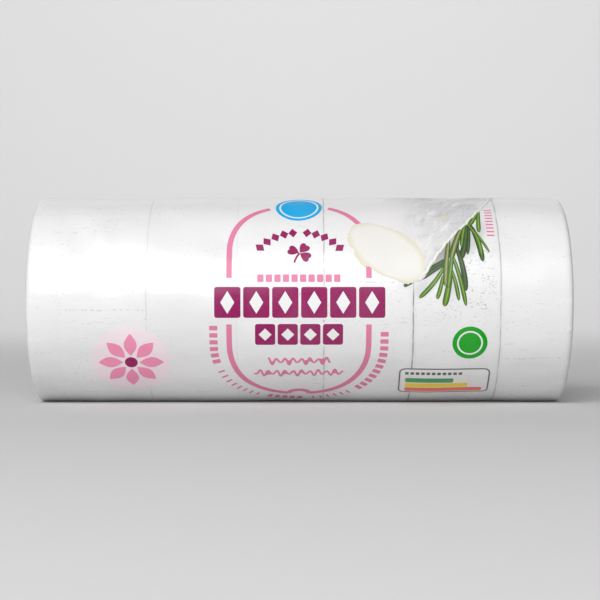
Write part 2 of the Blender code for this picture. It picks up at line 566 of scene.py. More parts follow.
def grain_effect():
    """The faint print on the planks: hair cracks, scattered specks, thick dust and uneven tone."""
    outputs = {"Cracks": "Float", "Specks": "Float", "Dust": "Float", "Tone": "Float"}
    tree, given, made = effect("plank_grain", {"Sheet": "Vector"}, outputs)
    sheet = given["Sheet"]
    long_grain = noise(tree, sheet, 210, stretch=(0.11, 1, 1), detail=4.0, roughness=0.55)
    cracks = ramp(tree, off_from(tree, long_grain, 0.5), 0.0015, 0.0085, 1.0, 0.0)
    broken = ramp(tree, noise(tree, sheet, 900, stretch=(0.6, 1, 1)), 0.46, 0.58)
    few = ramp(tree, noise(tree, sheet, 95, stretch=(0.6, 1, 1), detail=1.0), 0.48, 0.60)
    specks = ramp(tree, noise(tree, sheet, 1900, stretch=(0.8, 1, 1)), 0.64, 0.70)
    clusters = ramp(tree, noise(tree, sheet, 75, detail=1.0), 0.42, 0.60)
    dust = ramp(tree, noise(tree, sheet, 2500, stretch=(0.7, 1, 1)), 0.55, 0.63)
    patches = ramp(tree, noise(tree, sheet, 420), 0.42, 0.54)
    from_start = maths(tree, "SUBTRACT", parts_of(tree, sheet)["X"], PLANK_START)
    plank = maths(tree, "FLOOR", maths(tree, "DIVIDE", from_start, PLANK_WIDTH))
    plank_tone = add_node(tree, "TexWhiteNoise", {"W": plank}, noise_dimensions="1D").outputs[0]
    clouds = noise(tree, sheet, 60, stretch=(0.5, 1, 1), detail=3.0)
    tone = maths(tree, "ADD", times(tree, plank_tone, 0.4), times(tree, clouds, 0.6))
    tree.links.new(times(tree, cracks, broken, few), made["Cracks"])
    tree.links.new(times(tree, specks, clusters), made["Specks"])
    tree.links.new(times(tree, dust, patches), made["Dust"])
    tree.links.new(tone, made["Tone"])
    return tree


def patch_effect():
    """A soft printed patch: an ellipse round a middle, turned, fading out to its edge."""
    inputs = {"Sheet": "Vector", "Middle": "Vector", "Turn": "Float", "Sizes": "Vector"}
    tree, given, made = effect("soft_patch", inputs, {"Cover": "Float"})
    out = out_from(tree, given["Sheet"], given["Middle"], given["Turn"], given["Sizes"])
    tree.links.new(ramp(tree, out, 0.25, 1.0, 1.0, 0.0), made["Cover"])
    return tree


FILM_CRINKLE = crinkle_effect()
PLANK_JOINT = joint_effect()
LONG_CRACK = crack_effect()
PLANK_GRAIN = grain_effect()
SOFT_PATCH = patch_effect()


def patch_cover(tree, sheet, x, y, turn, half_length, half_width):
    """How much of a soft patch lies on each place of the sheet."""
    return place_effect(
        tree, SOFT_PATCH, Sheet=sheet, Middle=(x, y, 0), Turn=math.radians(-turn),
        Sizes=(half_length, half_width, 1),
    )["Cover"]


def printed_material(name, colour_on, gloss):
    """A material with a colour for each place on the flat sheet, a gloss, and the crinkle."""
    material = bpy.data.materials.new(name)
    material.use_nodes = True
    tree = material.node_tree
    shader = tree.nodes["Principled BSDF"]
    for property_name, value in gloss.items():
        shader.inputs[property_name].default_value = value
    sheet = add_node(tree, "UVMap", uv_map="film_sheet").outputs["UV"]
    tree.links.new(colour_on(tree, sheet), shader.inputs["Base Color"])
    crinkle = place_effect(tree, FILM_CRINKLE, Sheet=sheet)
    tree.links.new(crinkle["Normal"], shader.inputs["Normal"])
    return material


def film_colour(tree, sheet):
    """White with a faint print of pale planks, and painted shade along the lap's free edge."""
    grain = place_effect(tree, PLANK_GRAIN, Sheet=sheet)
    inks = [
        times(tree, grain["Cracks"], CRACK_STRENGTH), times(tree, grain["Specks"], SPECK_STRENGTH)
    ]
    for *patch, strength in SHADOWS:
        inks.append(times(tree, patch_cover(tree, sheet, *patch), strength))
    for *patch, strength in SPECK_FIELDS:
        inks.append(times(tree, grain["Dust"], patch_cover(tree, sheet, *patch), strength))
    for place, strength in PLANK_JOINTS:
        joint = place_effect(tree, PLANK_JOINT, Sheet=sheet, Place=place, Strength=strength)
        inks.append(joint["Ink"])
    for place, left, right, strength in LONG_CRACKS:
        crack = place_effect(
            tree, LONG_CRACK, Sheet=sheet, Place=place, Left=left, Right=right, Strength=strength
        )
        inks.append(crack["Ink"])
    ink = inks[0]
    for other in inks[1:]:
        ink = maths(tree, "MAXIMUM", ink, other)
    round_log = parts_of(tree, sheet)["Y"]
    ink = times(tree, ink, ramp(tree, round_log, PRINT_END, PRINT_END + PRINT_FADE, 1.0, 0.0))
    # Painted shade: a thin dark line just before the lap's free edge, where the step would cast a
    # thin shadow.
    shade_from, shade_to = (SHEET_END - distance for distance in LAP_SHADE_BAND)
    painted_lap_shade = ramp(tree, round_log, shade_from, shade_to, 0.0, LAP_SHADE_STRENGTH)
    ink = maths(tree, "MAXIMUM", ink, painted_lap_shade)
    film_tone = mix_colours(tree, grain["Tone"], FILM_SHADE, FILM_WHITE)
    return mix_colours(tree, ink, film_tone, GRAIN_GREY)


film.data.materials.append(printed_material("printed_film", film_colour, FILM_GLOSS))
select_only(film)
bpy.ops.object.shade_smooth_by_angle(angle=SMOOTH_ANGLE)
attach(film, "root")
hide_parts("wrapped_log")

# The pink frame
#
# A capsule-shaped line of pink ink round rows of tiles, with a ring of bars outside its foot.
# The artwork is drawn flat in millimetres, x along the log and y round it from the front line,
# with its layers of ink over each other, and is then rolled round the log with the film.

# Inks reach this far into the film, so that no gap shows, and each layer stands over the last.
INK_FOOT = 0.020
INK_STEP = 0.016
# Print is cut at least this often along the log and round it, so that it bends with the film.
CUT_ALONG = 1.5
CUT_ROUND = 0.75
CUT_TOLERANCE = 0.01
CORNER_STEPS = 4
MILLIMETRE = 0.001

PINK = (0.70, 0.20, 0.35, 1)
PRINT_GLOSS = {
    "Roughness": 0.45, "Specular IOR Level": 0.15, "Coat Weight": 0.15, "Coat IOR": 1.5,
    "Coat Roughness": 0.2,
}
FRAME_MIDDLE = -0.12
FRAME_HALF_WIDTH = 14.52
FRAME_LINE = 1.15
# Where the straight sides end, and how far the arches reach above and below them.
FRAME_TOP = 10.8
FRAME_TOP_RISE = 14.1
FRAME_FOOT = -9.7
FRAME_FOOT_DROP = 15.0
# The frame is open at both sides, and at the top and foot.
FRAME_OPEN_ABOVE = 4.6
FRAME_OPEN_BELOW = -5.1
TOP_GAP = 6.2
FOOT_GAP = 2.2
FOOT_ARCH_HALF_WIDTH = 2.2
FOOT_ARCH_RISE = 1.6

RING_HALF_WIDTH = 17.8
RING_DROP = 17.6
RING_SLOT = 1.62
# The bars stand in the middles of their slots, in groups of so many, this many slots apart.
RING_GROUPS = (6, 8, 5, 6, 11)
RING_GROUP_GAP = 0.8
RING_BAR_BOLD = (1.0, 1.7)
RING_BAR_LIGHT = (0.45, 1.5)
BAR_CORNER = 0.12


def edit_all(shape):
    """Opens a shape in edit mode with everything selected."""
    select_only(shape)
    bpy.ops.object.mode_set(mode="EDIT")
    bpy.ops.mesh.select_mode(type="FACE")
    bpy.ops.mesh.select_all(action="SELECT")


def lay_oval(x, y, half_length, half_height, points=48):
    """A flat filled ellipse."""
    deselect_all()
    bpy.ops.mesh.primitive_circle_add(vertices=points, fill_type="NGON", location=(x, y, 0))
    shape = bpy.context.object
    shape.scale = (half_length, half_height, 1)
    bpy.ops.object.transform_apply()
    return shape


def lay_tile(x, y, length, height, corner):
    """A flat rectangle round a middle, with rounded corners."""
    deselect_all()
    bpy.ops.mesh.primitive_plane_add(size=1, location=(x, y, 0))
    shape = bpy.context.object
    shape.scale = (length, height, 1)
    bpy.ops.object.transform_apply()
    edit_all(shape)
    bpy.ops.mesh.bevel(offset=corner, segments=CORNER_STEPS, affect="VERTICES")
    bpy.ops.object.mode_set(mode="OBJECT")
    return shape


def lay_shape(outline):
    """A flat filled shape: a disc whose rim points are moved to an anticlockwise outline."""
    deselect_all()
    bpy.ops.mesh.primitive_circle_add(vertices=len(outline), fill_type="NGON")
    shape = bpy.context.object
    places = np.zeros((len(outline), 3))
    places[:, :2] = outline
    write_places(shape, places)
    return shape


def aside_of(points):
    """The direction to the left of a path, at each of its points."""
    heading = np.gradient(points, axis=0)
    heading /= np.linalg.norm(heading, axis=1, keepdims=True)
    return np.stack([-heading[:, 1], heading[:, 0]], axis=1)


def reach_of(points):
    """How far along a path each of its points is."""
    return np.concatenate([[0], np.cumsum(np.linalg.norm(np.diff(points, axis=0), axis=1))])


def lay_line(path, width):
    """A flat line of even width along a path of points."""
    points = np.array(path, float)
    aside = aside_of(points) * width / 2
    return lay_shape(np.concatenate([points - aside, (points + aside)[::-1]]))


def hollow(shape, width):
    """Leaves only a line of a width along a shape's outline."""
    edit_all(shape)
    bpy.ops.mesh.inset(thickness=width)
    bpy.ops.mesh.delete(type="FACE")
    bpy.ops.object.mode_set(mode="OBJECT")
    return shape


def put_at(x, y, turn):
    """The move that turns a flat shape by so many degrees and puts it at a place."""
    return Matrix.Translation((x, y, 0)) @ Matrix.Rotation(math.radians(turn), 4, "Z")


def place_copies(shape, places):
    """Copies of a flat shape, one at each (x, y, turn in degrees). The shape itself goes."""
    copies = []
    for place in places:
        made = shape.copy()
        made.data = shape.data.copy()
        bpy.context.collection.objects.link(made)
        made.data.transform(put_at(*place))
        copies.append(made)
    bpy.data.objects.remove(shape)
    return copies


def cut_for_bending(ink):
    """Cuts flat print into cells small enough to follow the film."""
    places = read_places(ink)
    edit_all(ink)
    bpy.ops.mesh.quads_convert_to_tris()
    for axis, step in ((0, CUT_ALONG), (1, CUT_ROUND)):
        direction = np.eye(3)[axis]
        first, last = (math.ceil(end(places[:, axis]) / step) for end in (np.min, np.max))
        for cut in range(first, last):
            bpy.ops.mesh.select_all(action="SELECT")
            bpy.ops.mesh.bisect(
                plane_co=direction * cut * step, plane_no=direction, threshold=CUT_TOLERANCE
            )
    bpy.ops.mesh.select_all(action="SELECT")
    bpy.ops.mesh.quads_convert_to_tris()
    bpy.ops.object.mode_set(mode="OBJECT")


def roll_on(name, shapes, layers, material):
    """Joins flat shapes, each in its layer of ink or all in one, and rolls them round the log."""
    if not isinstance(layers, list):
        layers = [layers] * len(shapes)
    deselect_all()
    for shape, layer in zip(shapes, layers):
        shape.data.transform(Matrix.Translation((0, 0, INK_STEP * layer)))
        shape.select_set(True)
    bpy.context.view_layer.objects.active = shapes[0]
    if len(shapes) > 1:
        bpy.ops.object.join()
    ink = bpy.context.object
    ink.name = name
    cut_for_bending(ink)
    bpy.ops.object.modifier_add(type="SOLIDIFY")
    solid = ink.modifiers[0]
    solid.thickness = INK_FOOT + INK_STEP * max(layers)
    solid.offset = -1
    bpy.ops.object.modifier_apply(modifier=solid.name)
    flat = read_places(ink) * MILLIMETRE
    write_sheet_map(ink.data, flat[read_numbers(ink.data.loops, "vertex_index"), :2])
    x, y, lift = flat.T
    angle = y / RADIUS
    write_places(ink, round_the_log(x, RADIUS + film_rise(x, angle) + lift, angle))
    ink.data.materials.append(material)
    bpy.ops.object.shade_smooth_by_angle(angle=SMOOTH_ANGLE)
    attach(ink, "root")


def density_effect():
    """How unevenly a press lays its ink: soft clouds, and a very fine mottle."""
    tree, given, made = effect(
        "ink_density", {"Sheet": "Vector", "Ink": "Color", "Thin": "Color"}, {"Colour": "Color"}
    )
    clouds = noise(tree, given["Sheet"], 120, stretch=(1, 0.6, 1))
    mottle = noise(tree, given["Sheet"], 2600, detail=1.0)
    uneven = maths(tree, "ADD", clouds, times(tree, mottle, 0.5))
    share = ramp(tree, uneven, 0.55, 0.95, 0.0, 0.035)
    tree.links.new(mix_colours(tree, share, given["Ink"], given["Thin"]), made["Colour"])
    return tree


INK_DENSITY = density_effect()


def ink_material(name, colour):
    """A printed ink, laid a little unevenly, and duller than the bare film."""

    def colour_on(tree, sheet):
        return place_effect(tree, INK_DENSITY, Sheet=sheet, Ink=colour, Thin=FILM_WHITE)["Colour"]

    return printed_material(name, colour_on, PRINT_GLOSS)


def arch(half_width, foot, rise, start, end, steps=28):
    """Part of an upright half ellipse round the frame's middle, between two angles in degrees."""
    turns = np.radians(np.linspace(start, end, steps + 1))
    return [
        (FRAME_MIDDLE + half_width * math.cos(turn), foot + rise * math.sin(turn))
        for turn in turns
    ]


def frame_lines():
    """The four stretches of the frame, and the small arch in the gap at its foot."""
    left = FRAME_MIDDLE - FRAME_HALF_WIDTH
    right = FRAME_MIDDLE + FRAME_HALF_WIDTH
    top_turn = math.degrees(math.acos(TOP_GAP / FRAME_HALF_WIDTH))
    foot_turn = math.degrees(math.acos(FOOT_GAP / FRAME_HALF_WIDTH))
    top = (FRAME_HALF_WIDTH, FRAME_TOP, FRAME_TOP_RISE)
    foot = (FRAME_HALF_WIDTH, FRAME_FOOT, FRAME_FOOT_DROP)
    arch_foot = FRAME_FOOT - FRAME_FOOT_DROP
    paths = [
        [(left, FRAME_OPEN_ABOVE)] + arch(*top, 180, 180 - top_turn),
        [(right, FRAME_OPEN_ABOVE)] + arch(*top, 0, top_turn),
        [(left, FRAME_OPEN_BELOW)] + arch(*foot, 180, 180 + foot_turn),
        [(right, FRAME_OPEN_BELOW)] + arch(*foot, 0, -foot_turn),
        arch(FOOT_ARCH_HALF_WIDTH, arch_foot, FOOT_ARCH_RISE, 180, 0, 16),
    ]
    return [lay_line(path, FRAME_LINE) for path in paths]


def along_path(path, distance):
    """The point and the heading in degrees at a distance along a path."""
    points = np.array(path, float)
    steps = np.diff(points, axis=0)
    reach = reach_of(points)
    step = min(int(np.searchsorted(reach, distance, side="right")) - 1, len(steps) - 1)
    x, y = points[step] + steps[step] * (distance - reach[step]) / (reach[step + 1] - reach[step])
    return x, y, math.degrees(math.atan2(steps[step][1], steps[step][0]))


def ring_bars():
    """Short bars across a line outside the frame's foot, in groups of two weights by turns."""
    path = [(FRAME_MIDDLE - RING_HALF_WIDTH, FRAME_OPEN_BELOW)]
    path += arch(RING_HALF_WIDTH, FRAME_FOOT, RING_DROP, 180, 360, 90)
    path += [(FRAME_MIDDLE + RING_HALF_WIDTH, FRAME_OPEN_BELOW)]
    groups = {RING_BAR_BOLD: [], RING_BAR_LIGHT: []}
    slot = 0.5
    for number, count in enumerate(RING_GROUPS):
        bar = RING_BAR_LIGHT if number % 2 else RING_BAR_BOLD
        for _ in range(count):
            groups[bar].append(along_path(path, slot * RING_SLOT))
            slot += 1
        slot += RING_GROUP_GAP
    bars = []
    for (length, height), places in groups.items():
        bars += place_copies(lay_tile(0, 0, length, height, BAR_CORNER), places)
    return bars


pink_ink = ink_material("pink_ink", PINK)
roll_on("frame_line", frame_lines(), 1, pink_ink)
roll_on("ring_bars", ring_bars(), 1, pink_ink)

# The rows of tiles and what stands round them
#
# Two rows of solid deep magenta tiles with white rims and white lozenges. Over them stand an
# arch of lozenges, a three-leaved clover and a row of pink bars, and under them wavy lines.

DEEP_MAGENTA = (0.275, 0.005, 0.10, 1)
# A row: how many tiles, its middle, a tile's size and the gap between tiles.
TITLE_ROW = (6, 0.05, -0.5, 5.45, 6.4, 0.55)
LOWER_ROW = (4, -0.1, -7.3, 4.2, 4.6, 0.5)
BAR_ROW = (10, -0.15, 4.55, 1.32, 1.6, 0.45)
TILE_CORNER = 0.5
BAR_ROW_CORNER = 0.2
# The white rim round each tile.
HALO = 0.35
# The half sizes of the lozenges on the tiles of each row, and of those in the arch.
TITLE_LOZENGE = (1.45, 2.35)
LOWER_LOZENGE = (1.35, 1.35)
ARCH_LOZENGE = (0.95, 1.2)
ARCH_MIDDLE = (0.0, 4.5)
ARCH_RADIUS = 10.8
ARCH_TURNS = (-50, -39, -28, -17.5, -7.5, 8.5, 18.5, 29, 40, 51)
CLOVER_MIDDLE = (0.0, 10.1)
CLOVER_LEAF = 2.45
CLOVER_TURNS = (51, 157, -32)
HEART_POINTS = 28
# The stem's path, to the left of the clover's middle and below it.
CLOVER_STEM = ((0, 0), (0.5, 0.75), (0.85, 1.45), (1.1, 2.2))
CLOVER_STEM_WIDTH = 0.42
# Each wavy line: its left end, its right end and its height.
WAVY_LINES = ((-6.6, 6.5, -13.6), (-9.5, 9.3, -16.9))
WAVY_LINE_WIDTH = 0.45
WAVY_LINE_STEP = 0.12
WAVE_LENGTH = 1.75
WAVE_HEIGHT = 0.64
# The waves grow and shrink by this share along a line, by so many radians a millimetre.
SWELL = 0.5
SWELL_RATE = 1.7


def row_places(row):
    """The middles of a row of like shapes."""
    count, middle, height, length, _, gap = row
    first = middle - (count - 1) / 2 * (length + gap)
    return [(first + place * (length + gap), height, 0) for place in range(count)]


def tile_row(row, grown, corner):
    """One row of tiles, each grown by an edge all round."""
    length, height = row[3:5]
    tile = lay_tile(0, 0, length + 2 * grown, height + 2 * grown, corner)
    return place_copies(tile, row_places(row))


def lozenges_at(half_sizes, places):
    """Like lozenges, one at each place."""
    return place_copies(lay_oval(0, 0, *half_sizes, points=4), places)


def heart_leaf():
    """A heart-shaped leaf along +x, with its point near the origin and a notch far out."""
    outline = []
    for step in range(HEART_POINTS):
        angle = 2 * math.pi * step / HEART_POINTS
        across = math.copysign(0.45 * abs(math.sin(angle)) ** 2.8, math.sin(angle))
        out = 0.62 + 0.50 * math.cos(angle) - 0.14 * math.cos(2 * angle)
        out -= 0.06 * math.cos(3 * angle)
        outline.append((CLOVER_LEAF * out, -CLOVER_LEAF * across))
    return lay_shape(outline[::-1])


def clover():
    """Three heart-shaped leaves and a curved stem."""
    x, y = CLOVER_MIDDLE
    leaves = place_copies(heart_leaf(), [(x, y, turn) for turn in CLOVER_TURNS])
    stem = lay_line([(x - left, y - down) for left, down in CLOVER_STEM], CLOVER_STEM_WIDTH)
    return leaves + [stem]


def wavy_lines():
    """Thin wavy lines, one under the other."""
    lines = []
    for left, right, height in WAVY_LINES:
        reach = np.arange(left, right, WAVY_LINE_STEP)
        swing = WAVE_HEIGHT * (1 + SWELL * np.sin(reach * SWELL_RATE + height))
        rise = height + swing * np.sin(2 * math.pi * reach / WAVE_LENGTH)
        lines.append(lay_line(np.stack([reach, rise], axis=1), WAVY_LINE_WIDTH))
    return lines


magenta_ink = ink_material("deep_magenta_ink", DEEP_MAGENTA)
white_ink = ink_material("white_ink", FILM_WHITE)
halo = []
tiles = []
lozenges = []
for row, lozenge in ((TITLE_ROW, TITLE_LOZENGE), (LOWER_ROW, LOWER_LOZENGE)):
    halo += tile_row(row, HALO, TILE_CORNER + HALO)
    tiles += tile_row(row, 0, TILE_CORNER)
    lozenges += lozenges_at(lozenge, row_places(row))
roll_on("title_halo", halo, 1, white_ink)
roll_on("title_tiles", tiles, 2, magenta_ink)
roll_on("title_lozenges", lozenges, 3, white_ink)
x, y = ARCH_MIDDLE
arch_places = [
    (
        x + ARCH_RADIUS * math.sin(math.radians(turn)),
        y + ARCH_RADIUS * math.cos(math.radians(turn)),
        -turn,
    )
    for turn in ARCH_TURNS
]
arch_lozenges = lozenges_at(ARCH_LOZENGE, arch_places)
roll_on("arch_lozenges", arch_lozenges, 1, magenta_ink)
roll_on("clover", clover(), 1, magenta_ink)
roll_on("bar_row", tile_row(BAR_ROW, 0, BAR_ROW_CORNER), 1, pink_ink)
roll_on("wavy_lines", wavy_lines(), 1, pink_ink)

# The blue badge
#
# A plain light blue oval, printed on the film in the frame's gap at the top. A thin white line
# is printed over it, inside its edge.

BLUE = (0.0, 0.38, 0.76, 1)
BADGE = (-0.15, 24.1, 4.95, 5.2)
BADGE_LINE = 0.35
BADGE_MARGIN = 0.75

x, y, half_length, half_height = BADGE
blue_ink = ink_material("light_blue_ink", BLUE)
roll_on("blue_badge", [lay_oval(*BADGE)], 1, blue_ink)
inner = lay_oval(x, y, half_length - BADGE_MARGIN, half_height - BADGE_MARGIN)
roll_on("blue_badge_line", [hollow(inner, BADGE_LINE)], 2, white_ink)

# The flower at the left
#
# A pale pink disc printed on the film, with a plain flower printed over it: eight pink petals
# round a deep magenta eye.

PALE_PINK = (0.86, 0.74, 0.78, 1)
PETAL_PINK = (0.84, 0.27, 0.44, 1)
FLOWER_MIDDLE = (-35.3, -14.0)
DISC_RADIUS = 8.3
PETAL_COUNT = 8
PETAL_LENGTH = 5.2
PETAL_HALF_WIDTH = 1.35
PETAL_START = 1.7
EYE_RADIUS = 1.35


def lay_leaf(length, half_width, points=14):
    """A flat leaf from the origin along +x, pointed at both ends."""
    shares = np.linspace(0, 1, points + 1)
    lower = [(length * share, -half_width * math.sin(math.pi * share)) for share in shares]
    upper = [(x, -y) for x, y in lower[-2:0:-1]]
    return lay_shape(lower + upper)


x, y = FLOWER_MIDDLE
disc = lay_oval(x, y, DISC_RADIUS, DISC_RADIUS, points=64)
roll_on("flower_disc", [disc], 1, ink_material("pale_pink_ink", PALE_PINK))
petal = lay_leaf(PETAL_LENGTH, PETAL_HALF_WIDTH)
petal.data.transform(put_at(PETAL_START, 0, 0))
petals = place_copies(petal, [(x, y, 360 / PETAL_COUNT * number) for number in range(PETAL_COUNT)])
roll_on("flower_petals", petals, 2, ink_material("petal_pink_ink", PETAL_PINK))
eye = lay_oval(x, y, EYE_RADIUS, EYE_RADIUS, points=24)
roll_on("flower_eye", [eye], 2, magenta_ink)

# The printed herb
#
# A sprig printed on the film, with narrow leaves in three greens and a paler rib along each. It
# comes out from behind the printed cheese.

# Leaves from the back: the root, the tip, the half width, how far the middle bends aside, and
# which green: dark, mid or light with a brown rib.
SPRIG = (
    (23.4, 3.7, 21.6, 2.9, 0.40, 0.0, 0),
    (30.6, 8.7, 26.4, 6.1, 0.62, 0.1, 0),
    (30.4, 7.8, 25.2, 4.4, 0.55, -0.1, 0),
    (35.3, 17.9, 33.7, 8.7, 0.70, 0.2, 0),
    (33.0, 13.4, 32.6, 10.6, 0.60, 0.0, 0),
    (35.7, 16.9, 35.0, 9.8, 0.40, 0.1, 0),
    (34.9, 17.6, 33.8, 11.8, 0.48, -0.1, 1),
    (36.0, 17.8, 38.2, 8.2, 0.62, 0.2, 0),
    (32.7, 11.8, 34.5, 1.9, 0.64, 0.3, 0),
    (31.3, 5.4, 30.0, -1.3, 0.72, 0.1, 1),
    (29.8, 5.2, 28.5, 0.2, 0.48, 0.1, 1),
    (30.2, 7.2, 24.8, 0.4, 0.52, 0.4, 1),
    (31.3, 7.0, 33.0, -0.1, 0.45, 0.2, 1),
    (31.7, 10.0, 34.5, -1.2, 0.50, 0.2, 1),
    (31.8, 9.6, 30.8, 2.5, 0.52, 0.0, 1),
    (35.6, 17.6, 39.6, 10.3, 0.30, 0.1, 1),
    (35.1, 18.4, 38.0, 9.6, 0.50, 0.6, 1),
    (37.6, 21.0, 35.9, 17.5, 0.55, 0.0, 1),
    (38.2, 22.8, 37.7, 15.4, 0.50, -0.1, 1),
    (31.3, 13.4, 30.2, 2.9, 0.62, -0.2, 2),
    (33.9, 16.2, 31.5, 8.8, 0.72, -0.1, 2),
)
LEAF_DEEP = (0.018, 0.045, 0.012, 1)
LEAF_GREENS = ((0.055, 0.100, 0.038, 1), (0.110, 0.240, 0.026, 1), (0.130, 0.215, 0.048, 1))
RIB_GREEN = (0.34, 0.50, 0.14, 1)
RIB_BROWN = (0.45, 0.37, 0.22, 1)
# Each leaf lies a third of a layer over the one behind it.
LEAF_LAYER = 0.34
LEAF_POINTS = 17
# A leaf's width at its root, as a share of its width at the tip, and how square its ends are.
LEAF_ROOT_SHARE = 0.74
LEAF_SQUARENESS = 5


def needle(root_x, root_y, tip_x, tip_y, half_width, bend, green):
    """A narrow blunt leaf, with a map that tells which green it is and the place across it."""
    length = math.hypot(tip_x - root_x, tip_y - root_y)
    shares = (1 - np.cos(np.linspace(0, math.pi, LEAF_POINTS))) / 2
    widths = half_width * (LEAF_ROOT_SHARE + (1 - LEAF_ROOT_SHARE) * shares)
    widths = widths * np.sqrt(1 - np.abs(2 * shares - 1) ** LEAF_SQUARENESS)
    middle = bend * np.sin(math.pi * shares)
    lower = np.stack([length * shares, middle - widths], axis=1)
    upper = np.stack([length * shares, middle + widths], axis=1)[-2:0:-1]
    shape = lay_shape(np.concatenate([lower, upper]))
    across = np.concatenate([-np.ones(len(lower)), np.ones(len(upper))])
    across[[0, len(lower) - 1]] = 0
    leaf_map = shape.data.uv_layers.new(name="leaf")
    for loop in shape.data.loops:
        leaf_map.data[loop.index].uv = (green, across[loop.vertex_index])
    turn = math.degrees(math.atan2(tip_y - root_y, tip_x - root_x))
    shape.data.transform(put_at(root_x, root_y, turn))
    return shape


def herb_colour(tree, sheet):
    """Three greens: each leaf is deep green at its edges, with a paler rib."""
    leaf = parts_of(tree, add_node(tree, "UVMap", uv_map="leaf").outputs["UV"])
    is_mid = ramp(tree, leaf["X"], 0.4, 0.6)
    is_light = ramp(tree, leaf["X"], 1.4, 1.6)
    green = mix_colours(tree, is_mid, LEAF_GREENS[0], LEAF_GREENS[1])
    green = mix_colours(tree, is_light, green, LEAF_GREENS[2])
    uneven = noise(tree, sheet, 700, stretch=(1, 0.4, 1))
    green = mix_colours(tree, ramp(tree, uneven, 0.40, 0.70, 0.0, 0.35), green, LEAF_DEEP)
    near_edge = ramp(tree, maths(tree, "ABSOLUTE", leaf["Y"]), 0.35, 1.0, 0.0, 0.75)
    colour = mix_colours(tree, near_edge, green, LEAF_DEEP)
    rib_width = maths(tree, "ADD", times(tree, is_light, 0.08), 0.28)
    off_rib = maths(tree, "DIVIDE", off_from(tree, leaf["Y"], 0.08), rib_width)
    rib_share = maths(tree, "ADD", times(tree, is_mid, 0.45), 0.15)
    rib_share = maths(tree, "ADD", rib_share, times(tree, is_light, 0.25))
    on_rib = times(tree, ramp(tree, off_rib, 0.3, 1.0, 1.0, 0.0), rib_share)
    return mix_colours(tree, on_rib, colour, mix_colours(tree, is_light, RIB_GREEN, RIB_BROWN))


leaf_layers = [1 + LEAF_LAYER * number for number in range(len(SPRIG))]
herb_ink = printed_material("herb_ink", herb_colour, PRINT_GLOSS)
roll_on("herb_leaves", [needle(*leaf) for leaf in SPRIG], leaf_layers, herb_ink)

# The printed cheese
#
# A picture of such a log cut on the slant, printed on the film: a white rind with soft folds,
# and a cream cut face with a darker edge. It runs up over the top of the pack.

RIND = (
    (25.6, 4.4), (27.0, 6.6), (30.6, 12.0), (34.9, 17.4), (38.2, 22.4), (40.8, 27.3), (42.4, 33.0),
    (42.6, 39.0), (40.2, 44.5), (35.5, 47.5), (29.5, 47.0), (24.0, 43.0), (20.6, 36.5),
    (18.9, 30.2), (17.2, 24.5), (13.6, 18.4), (12.5, 15.0), (19.0, 5.9), (23.0, 3.9),
)
RIND_WHITE = (0.76, 0.745, 0.745, 1)
RIND_SHADE = (0.61, 0.605, 0.62, 1)
RIND_FOLD = (0.45, 0.465, 0.49, 1)
RIND_CREAM = (0.68, 0.63, 0.50, 1)
RIND_FOLD_TURN = -58
# The rind's crinkled right edge, drawn as lines along it: how far in, how wide, and the ink.
RIND_EDGE = (
    (25.0, 4.3), (26.2, 5.9), (28.6, 9.6), (31.5, 13.7), (34.6, 17.2), (37.9, 22.2), (40.4, 27.0),
    (42.0, 33.0),
)
RIND_LINES = ((0.0, 0.50, "lip"), (-0.16, 0.12, "shade"), (0.30, 0.12, "shade"))
RIND_LINE_STEP = 0.3
# Two crinkles run along these lines: a height, and radians a millimetre.
RIND_CRINKLES = ((0.10, 2.1), (0.07, 4.7))
# The lines lie this many layers of ink over the rind, the inner ones a little lower.
RIND_LINE_LAYER = 0.6
RIND_LINE_DROP = 0.3
RIND_LIP = (0.79, 0.79, 0.76, 1)
RIND_GREY = (0.56, 0.57, 0.49, 1)
# The torn outline of the cut face.
FACE = (
    (10.8, 16.4), (11.6, 17.5), (13.0, 17.9), (14.4, 18.1), (16.2, 17.6), (19.0, 16.6),
    (21.3, 15.4), (23.2, 13.7), (24.9, 11.4), (25.9, 9.2), (26.1, 7.2), (25.5, 5.3),
    (24.0, 3.9), (22.2, 3.3), (20.5, 4.0), (18.8, 4.7), (17.3, 5.2), (15.7, 6.1),
    (14.6, 6.9), (13.3, 7.2), (12.2, 8.4), (11.4, 9.7), (11.5, 10.6), (10.5, 12.0),
    (10.0, 13.7),
)
FACE_TEAR = 0.10
FACE_MIDDLE = (18.1, 10.75)
FACE_HALF_LENGTH = 9.4
FACE_HALF_WIDTH = 5.1
FACE_TURN = -40
FACE_CREAM = (0.765, 0.75, 0.71, 1)
FACE_EDGE = (0.70, 0.67, 0.53, 1)
CHEESE_LAYER = 7


def smooth_outline(corners, steps=6):
    """A closed curve through points in turn, with more points between them."""
    corners = np.array(corners, float)
    before, after, beyond = (np.roll(corners, shift, axis=0) for shift in (1, -1, -2))
    outline = []
    for first, start, end, last in zip(before, corners, after, beyond):
        for share in np.arange(steps) / steps:
            middle = 2 * start + (end - first) * share
            middle += (2 * first - 5 * start + 4 * end - last) * share**2
            outline.append((middle + (3 * start - first - 3 * end + last) * share**3) / 2)
    return outline


def face_outline():
    """The outline of the cut face, with small tears all along it."""
    outline = np.array(smooth_outline(FACE))
    middle = np.array(FACE_MIDDLE)
    tears = np.array([
        math.sin(1.9 * number) + math.sin(2.8 * number + 1) for number in range(len(outline))
    ])
    out = outline - middle
    out /= np.linalg.norm(out, axis=1, keepdims=True)
    return (outline + FACE_TEAR * tears[:, None] * out)[::-1]


def rind_line(inward, width):
    """A crinkled line beside the rind's right edge, a little inside it."""
    corners = np.array(RIND_EDGE)
    reach = reach_of(corners)
    along = np.arange(0, reach[-1], RIND_LINE_STEP)
    path = np.stack([np.interp(along, reach, corners[:, part]) for part in (0, 1)], axis=1)
    crinkle = sum(
        height * np.sin(rate * along + 5 * inward * number)
        for number, (height, rate) in enumerate(RIND_CRINKLES, 1)
    )
    return lay_line(path + aside_of(path) * (inward + crinkle)[:, None], width)


